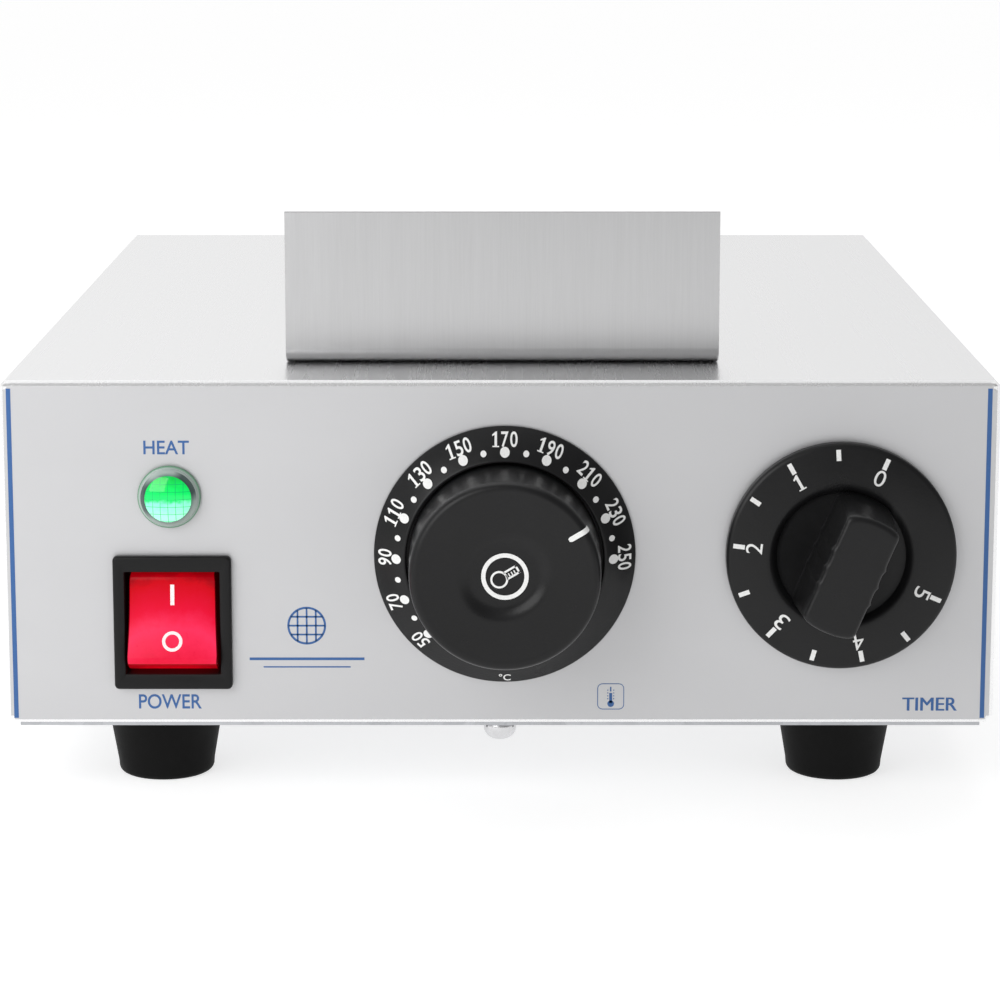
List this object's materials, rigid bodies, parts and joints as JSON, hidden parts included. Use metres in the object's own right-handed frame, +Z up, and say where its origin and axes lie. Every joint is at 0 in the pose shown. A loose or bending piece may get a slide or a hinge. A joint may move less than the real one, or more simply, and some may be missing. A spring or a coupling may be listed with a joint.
{
  "type": "waffle iron control base",
  "caption": "Countertop waffle iron base: folded steel case on rubber feet, with thermostat and timer knobs, rocker switch, lamp and a plate bracket on top.",
  "frame": {"origin": "on the table, at the middle of the bounding box's base", "axes": "+X to the right seen from the front, the controls face -Y, +Z up"},
  "size_m": [0.25, 0.3548, 0.1463],
  "materials": {
    "stainless_sheet": "satin stainless sheet",
    "brushed_steel": "coarse upright brushing",
    "galvanised_sheet": "dull zinc plating",
    "grey_film": "printed satin film",
    "black_plastic": "satin moulded black",
    "black_rubber": "matt",
    "red_lens": "lit translucent red",
    "green_lens": "lit translucent green",
    "screw_steel": "bright plated",
    "brass": "machined",
    "copper": "drawn copper",
    "ceramic": "glazed ceramic",
    "white_nylon": "moulded nylon",
    "brown_insulation": "silicone sleeve",
    "blue_insulation": "silicone sleeve",
    "green_insulation": "green and yellow sleeve"
  },
  "bodies": {
    "base": {"housing_shell": "stainless_sheet", "rear_panel": "stainless_sheet", "front_label": "grey_film", "support_bracket": "brushed_steel", "base_plate": "galvanised_sheet", "base_screw_back": "screw_steel", "base_screw_front": "screw_steel", "base_screw_left": "screw_steel", "base_screw_right": "screw_steel", "bracket_screw_left": "screw_steel", "bracket_screw_right": "screw_steel", "rear_screw_lower_left": "screw_steel", "rear_screw_lower_right": "screw_steel", "rear_screw_upper_left": "screw_steel", "rear_screw_upper_right": "screw_steel", "thermostat_screw_left": "screw_steel", "thermostat_screw_right": "screw_steel", "timer_screw_left": "screw_steel", "timer_screw_right": "screw_steel", "foot_screw_back_left": "screw_steel", "foot_screw_back_right": "screw_steel", "foot_screw_front_left": "screw_steel", "foot_screw_front_right": "screw_steel", "bulb_clip": "screw_steel", "foot_back_left": "black_rubber", "foot_back_right": "black_rubber", "foot_front_left": "black_rubber", "foot_front_right": "black_rubber", "lead_grommet": "black_rubber", "thermostat_dial": "black_plastic", "switch_housing": "black_plastic", "lamp_body": "black_plastic", "gland_body": "black_plastic", "gland_nut": "black_plastic", "lamp_lens": "green_lens", "lamp_nut": "white_nylon", "terminal_block": "white_nylon", "plate_terminal_block": "ceramic", "thermostat_body": "galvanised_sheet", "timer_body": "galvanised_sheet", "earth_screw": "brass", "switch_tab_lower_left": "brass", "switch_tab_lower_right": "brass", "switch_tab_upper_left": "brass", "switch_tab_upper_right": "brass", "sensor_bulb": "copper", "capillary_tube": "copper", "wire_live_to_switch": "brown_insulation", "wire_switch_to_thermostat": "brown_insulation", "wire_thermostat_to_timer": "brown_insulation", "wire_timer_to_plates": "brown_insulation", "wire_neutral_to_switch": "blue_insulation", "wire_neutral_to_plates": "blue_insulation", "wire_earth": "green_insulation"},
    "thermostat_control": {"thermostat_knob": "black_plastic", "thermostat_shaft": "brass"},
    "timer_control": {"timer_knob": "black_plastic", "timer_shaft": "brass"},
    "switch_rocker_body": {"switch_rocker": "red_lens"}
  },
  "joints": [
    {"name": "thermostat_turn", "type": "hinge", "parent": "base", "child": "thermostat_control", "pos_m": [0.0012, -0.15, 0.0631], "axis": [0, 1, 0], "range_deg": [-194.2, 30.8]},
    {"name": "timer_turn", "type": "hinge", "parent": "base", "child": "timer_control", "pos_m": [0.0854, -0.15, 0.0631], "axis": [0, 1, 0], "range_deg": [-24, 246]},
    {"name": "rocker_rock", "type": "hinge", "parent": "base", "child": "switch_rocker_body", "pos_m": [-0.0823, -0.147, 0.0457], "axis": [1, 0, 0], "range_deg": [0, 22]}
  ]
}
